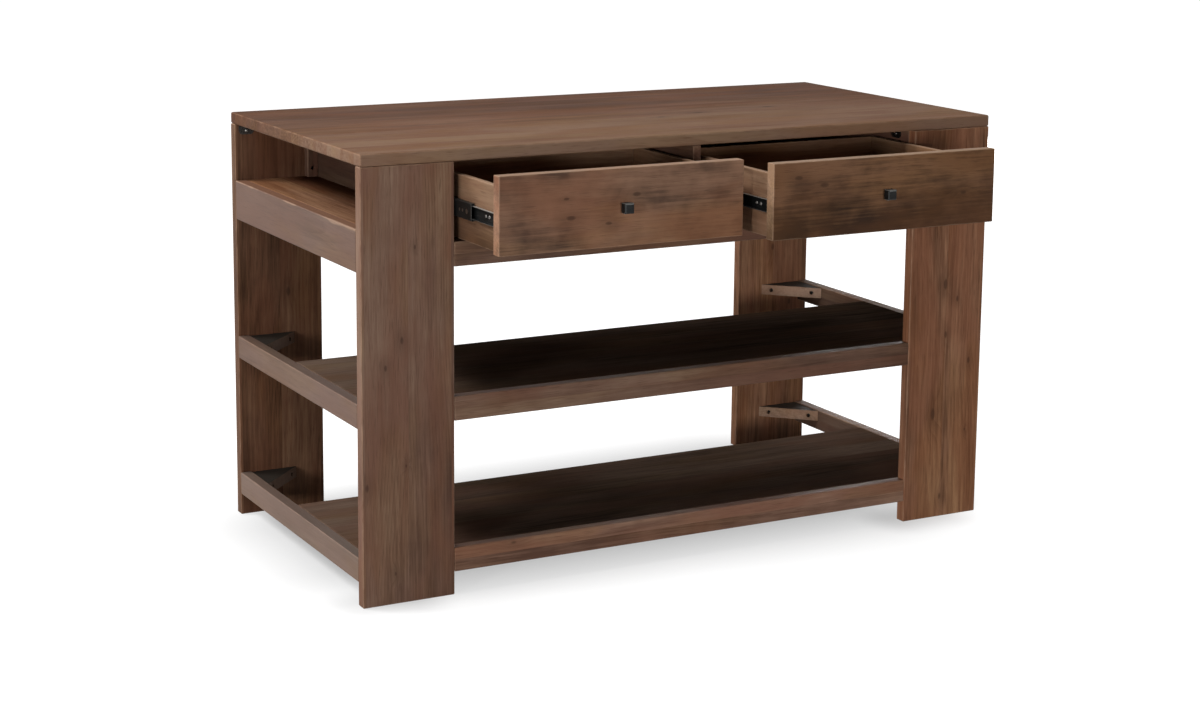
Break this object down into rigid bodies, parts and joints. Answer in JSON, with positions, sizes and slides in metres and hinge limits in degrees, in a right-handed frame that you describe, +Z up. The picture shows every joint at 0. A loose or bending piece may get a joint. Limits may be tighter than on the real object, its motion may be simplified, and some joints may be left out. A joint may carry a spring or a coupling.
{
  "type": "kitchen island",
  "caption": "Dark walnut kitchen island: broad top on plank legs, open end cubbies, drawers with square black knobs on ball-bearing slides, open shelves below and a knee space at the back.",
  "frame": {"origin": "on the floor, midway over the length and depth of the island as stored, with its drawers pulled out", "axes": "+X along the length, to the right as seen from the drawer side; +Y from the drawer side to the seating side; +Z up"},
  "size_m": [1.512, 1.0442, 0.914],
  "materials": {
    "top_wood": "satin stained walnut",
    "frame_wood": "satin stained walnut",
    "shelf_wood": "satin dark walnut",
    "drawer_wood": "satin stained walnut",
    "box_wood": "lighter clear-coated wood",
    "black_knob": "satin black",
    "black_slide": "black coated steel",
    "grey_steel": "plain grey steel"
  },
  "bodies": {
    "frame": {"top_board": "top_wood", "leg_front_left": "frame_wood", "leg_front_right": "frame_wood", "leg_back_left": "frame_wood", "leg_back_right": "frame_wood", "end_rail_lower_left": "frame_wood", "end_rail_lower_right": "frame_wood", "end_rail_middle_left": "frame_wood", "end_rail_middle_right": "frame_wood", "end_rail_upper_left": "frame_wood", "end_rail_upper_right": "frame_wood", "shelf_lower": "shelf_wood", "shelf_middle": "shelf_wood", "shelf_lip_lower": "frame_wood", "shelf_lip_middle": "frame_wood", "corner_block_lower_left": "frame_wood", "corner_block_lower_right": "frame_wood", "corner_block_middle_left": "frame_wood", "corner_block_middle_right": "frame_wood", "front_rail": "frame_wood", "case_back": "shelf_wood", "case_panel": "shelf_wood", "case_divider": "frame_wood", "case_side_left": "frame_wood", "case_side_right": "frame_wood", "cubby_floor_left": "frame_wood", "cubby_floor_right": "frame_wood", "cubby_cleat_left": "frame_wood", "cubby_cleat_right": "frame_wood", "top_bracket_back_left": "grey_steel", "top_bracket_back_right": "grey_steel", "top_bracket_front_left": "grey_steel", "top_bracket_front_right": "grey_steel", "slide_left_outer_cabinet": "black_slide", "slide_left_inner_cabinet": "black_slide", "slide_right_outer_cabinet": "black_slide", "slide_right_inner_cabinet": "black_slide"},
    "left_drawer": {"drawer_left_front": "drawer_wood", "drawer_left_back": "box_wood", "drawer_left_side_left": "box_wood", "drawer_left_side_right": "box_wood", "drawer_left_bottom": "box_wood", "drawer_left_knob": "black_knob", "slide_left_outer_drawer": "black_slide", "slide_left_inner_drawer": "black_slide"},
    "right_drawer": {"drawer_right_front": "drawer_wood", "drawer_right_back": "box_wood", "drawer_right_side_left": "box_wood", "drawer_right_side_right": "box_wood", "drawer_right_bottom": "box_wood", "drawer_right_knob": "black_knob", "slide_right_outer_drawer": "black_slide", "slide_right_inner_drawer": "black_slide"},
    "left_middle_members": {"slide_left_outer_middle": "black_slide", "slide_left_inner_middle": "black_slide"},
    "right_middle_members": {"slide_right_outer_middle": "black_slide", "slide_right_inner_middle": "black_slide"}
  },
  "joints": [
    {"name": "left_drawer_slide", "type": "slide", "parent": "frame", "child": "left_drawer", "axis": [0, -1, 0], "range_m": [-0.2, 0.15]},
    {"name": "right_drawer_slide", "type": "slide", "parent": "frame", "child": "right_drawer", "axis": [0, -1, 0], "range_m": [-0.28, 0.07]},
    {"name": "left_middle_slide", "type": "slide", "parent": "frame", "child": "left_middle_members", "axis": [0, -1, 0], "range_m": [-0.1, 0.075]},
    {"name": "right_middle_slide", "type": "slide", "parent": "frame", "child": "right_middle_members", "axis": [0, -1, 0], "range_m": [-0.14, 0.035]}
  ],
  "couplings": [
    {"joint": "left_middle_slide", "follows": "left_drawer_slide", "ratio": 0.5},
    {"joint": "right_middle_slide", "follows": "right_drawer_slide", "ratio": 0.5}
  ]
}
